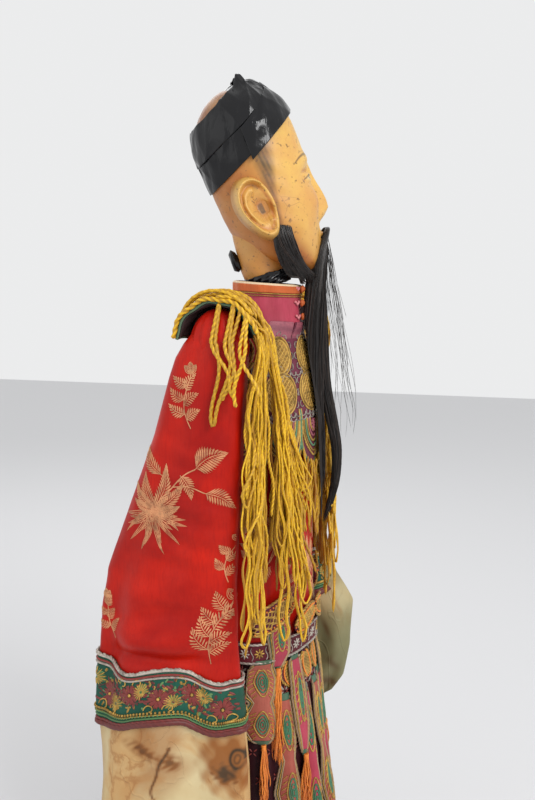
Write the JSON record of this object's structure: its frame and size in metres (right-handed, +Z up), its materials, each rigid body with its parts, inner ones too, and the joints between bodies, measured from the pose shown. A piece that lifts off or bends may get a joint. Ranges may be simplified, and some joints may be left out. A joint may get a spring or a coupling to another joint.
{
  "type": "costumed rod puppet",
  "caption": "Carved-head rod puppet in an embroidered costume, with a nodding head, turning body, swinging jointed arms and hand rods.",
  "frame": {"origin": "centre of the bottom end of the central rod's grip", "axes": "+Z up along the central rod, the puppet's front faces -Y, its left hand is on the +X side"},
  "size_m": [0.1613, 0.1602, 0.556],
  "materials": {
    "turned_wood": "oiled",
    "arm_wood": "bare",
    "steel_pin": "satin",
    "leather_washer": "matt",
    "brass": "satin",
    "painted_skin": "worn lacquer paint",
    "black_tape": "glossy",
    "black_hair": "fine hair",
    "red_silk": "satin",
    "pink_silk": "satin",
    "orange_band": "satin",
    "gold_embroidery": "couched metal thread",
    "green_piping": "satin",
    "yellow_cord": "twisted silk cord",
    "maroon_brocade": "brocade",
    "salmon_silk": "satin",
    "orange_thread": "loose thread",
    "green_cuff": "brocade",
    "water_silk": "stained silk",
    "rod_wire": "dark iron wire",
    "grip_wood": "worn"
  },
  "bodies": {
    "rod": {"main_rod": "turned_wood", "stop_collar": "turned_wood", "stop_pin": "steel_pin", "bearing_washer": "leather_washer", "retaining_ring": "brass"},
    "head": {"head": "painted_skin", "head_pin": "steel_pin", "neck_tape": "black_tape", "neck_tab": "black_tape", "cap_band_lower": "black_tape", "cap_band_upper": "black_tape", "cap_peak": "black_tape", "hair_tufts": "black_hair"},
    "beard": {"beard_locks": "black_hair"},
    "torso": {"torso_block": "turned_wood", "shoulder_board": "turned_wood", "shoulder_pins": "steel_pin", "jacket": "red_silk", "standing_collar": "pink_silk", "collar_piping": "orange_band", "collar_knots": "orange_band", "cloud_collar": "gold_embroidery", "cloud_collar_piping": "green_piping", "yoke_fringe": "yellow_cord", "side_fringe": "yellow_cord", "waist_belt": "maroon_brocade", "belt_lobes": "gold_embroidery", "streamers": "salmon_silk", "tassels": "orange_thread", "skirt_front": "red_silk", "skirt_back": "maroon_brocade"},
    "shoulder_right": {"shoulder_knuckle_right": "arm_wood", "shoulder_peg_right": "brass", "epaulette_right": "green_piping"},
    "upper_arm_right": {"upper_arm_right": "arm_wood", "sleeve_upper_right": "red_silk", "elbow_pin_right": "steel_pin"},
    "forearm_right": {"forearm_right": "arm_wood", "sleeve_lower_right": "red_silk", "cuff_band_right": "green_cuff", "water_sleeve_right": "water_silk", "wrist_pin_right": "steel_pin"},
    "hand_right": {"hand_right": "painted_skin"},
    "arm_rod_right": {"arm_rod_right": "rod_wire", "rod_grip_right": "grip_wood"},
    "shoulder_left": {"shoulder_knuckle_left": "arm_wood", "shoulder_peg_left": "brass", "epaulette_left": "green_piping"},
    "upper_arm_left": {"upper_arm_left": "arm_wood", "sleeve_upper_left": "red_silk", "elbow_pin_left": "steel_pin"},
    "forearm_left": {"forearm_left": "arm_wood", "sleeve_lower_left": "red_silk", "cuff_band_left": "green_cuff", "water_sleeve_left": "water_silk", "wrist_pin_left": "steel_pin"},
    "hand_left": {"hand_left": "painted_skin"},
    "arm_rod_left": {"arm_rod_left": "rod_wire", "rod_grip_left": "grip_wood"}
  },
  "joints": [
    {"name": "head_nod", "type": "hinge", "parent": "rod", "child": "head", "pos_m": [0, 0, 0.434], "axis": [0.8829, 0.4695, 0], "range_deg": [-12, 16]},
    {"name": "beard_swing", "type": "hinge", "parent": "head", "child": "beard", "pos_m": [0.01726, -0.03246, 0.4618], "axis": [0.8829, 0.4695, 0], "range_deg": [-18, 18]},
    {"name": "body_turn", "type": "hinge", "parent": "rod", "child": "torso", "pos_m": [0, 0, 0.36], "axis": [0, 0, 1], "range_deg": [-25, 45], "deforming": ["beard_locks"]},
    {"name": "arm_raise_right", "type": "hinge", "parent": "torso", "child": "shoulder_right", "pos_m": [-0.054, 0.004, 0.396], "axis": [0, 1, 0], "range_deg": [0, 35]},
    {"name": "arm_swing_right", "type": "hinge", "parent": "shoulder_right", "child": "upper_arm_right", "pos_m": [-0.066, 0.004, 0.396], "axis": [-1, 0, 0], "range_deg": [-20, 60]},
    {"name": "elbow_right", "type": "hinge", "parent": "upper_arm_right", "child": "forearm_right", "pos_m": [-0.066, 0.01115, 0.31431], "axis": [-1, 0, 0], "range_deg": [0, 60]},
    {"name": "wrist_right", "type": "hinge", "parent": "forearm_right", "child": "hand_right", "pos_m": [-0.066, 0.01401, 0.23236], "axis": [-1, 0, 0], "range_deg": [-15, 15]},
    {"name": "arm_rod_swing_right", "type": "hinge", "parent": "hand_right", "child": "arm_rod_right", "pos_m": [-0.066, 0.01471, 0.21237], "axis": [-1, 0, 0], "range_deg": [-40, 6], "deforming": ["water_sleeve_right"]},
    {"name": "arm_raise_left", "type": "hinge", "parent": "torso", "child": "shoulder_left", "pos_m": [0.054, 0.004, 0.396], "axis": [0, -1, 0], "range_deg": [0, 35]},
    {"name": "arm_swing_left", "type": "hinge", "parent": "shoulder_left", "child": "upper_arm_left", "pos_m": [0.066, 0.004, 0.396], "axis": [-1, 0, 0], "range_deg": [-20, 60]},
    {"name": "elbow_left", "type": "hinge", "parent": "upper_arm_left", "child": "forearm_left", "pos_m": [0.066, 0.00972, 0.3142], "axis": [-1, 0, 0], "range_deg": [-17, 45]},
    {"name": "wrist_left", "type": "hinge", "parent": "forearm_left", "child": "hand_left", "pos_m": [0.066, -0.00873, 0.2343], "axis": [-1, 0, 0], "range_deg": [-15, 15]},
    {"name": "arm_rod_swing_left", "type": "hinge", "parent": "hand_left", "child": "arm_rod_left", "pos_m": [0.066, -0.01323, 0.21481], "axis": [-1, 0, 0], "range_deg": [-45, 30], "deforming": ["water_sleeve_left"]}
  ],
  "couplings": [
    {"joint": "beard_swing", "follows": "head_nod", "ratio": -1}
  ]
}
